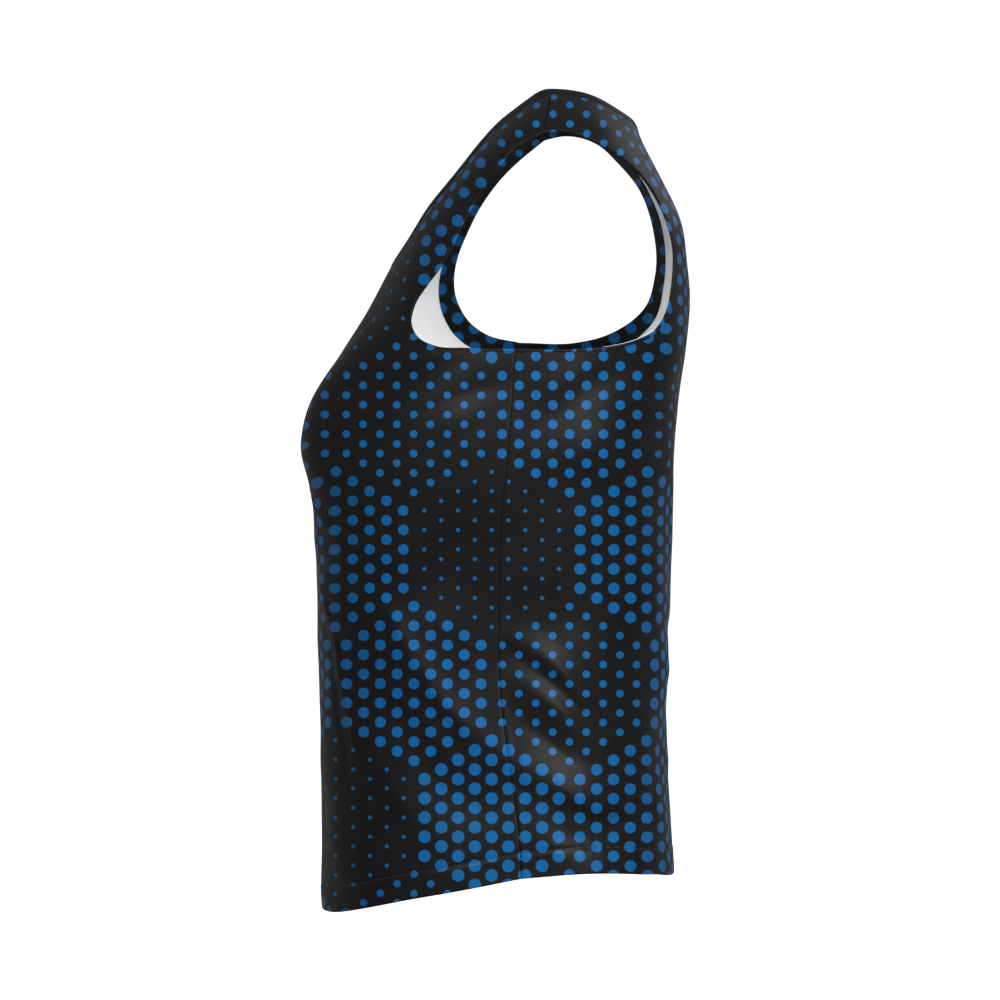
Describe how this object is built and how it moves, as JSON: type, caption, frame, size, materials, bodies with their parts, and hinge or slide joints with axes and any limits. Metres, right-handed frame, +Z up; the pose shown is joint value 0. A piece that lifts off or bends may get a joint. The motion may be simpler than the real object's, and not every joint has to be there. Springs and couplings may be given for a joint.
{
  "type": "cheerleading_shell_top",
  "caption": "Women's sleeveless cheerleading shell top in near-black knit with blue halftone dots, a scooped neck with a black band, wide straps and a curved hem",
  "frame": {"origin": "Midway between the two shoulder straps on the garment's mid plane, at the middle height of the shoulder seams, where a wearer's shoulders hold it up", "axes": "+X is the wearer's left, -Y is the front, +Z is up"},
  "size_m": [0.3402, 0.299, 0.633],
  "materials": {
    "printed_knit": "matte",
    "black_knit": "matte"
  },
  "bodies": {
    "root": {"front_panel": "printed_knit", "back_panel": "printed_knit", "neck_band": "black_knit", "armhole_facing_left": "printed_knit", "armhole_facing_right": "printed_knit"}
  },
  "joints": []
}
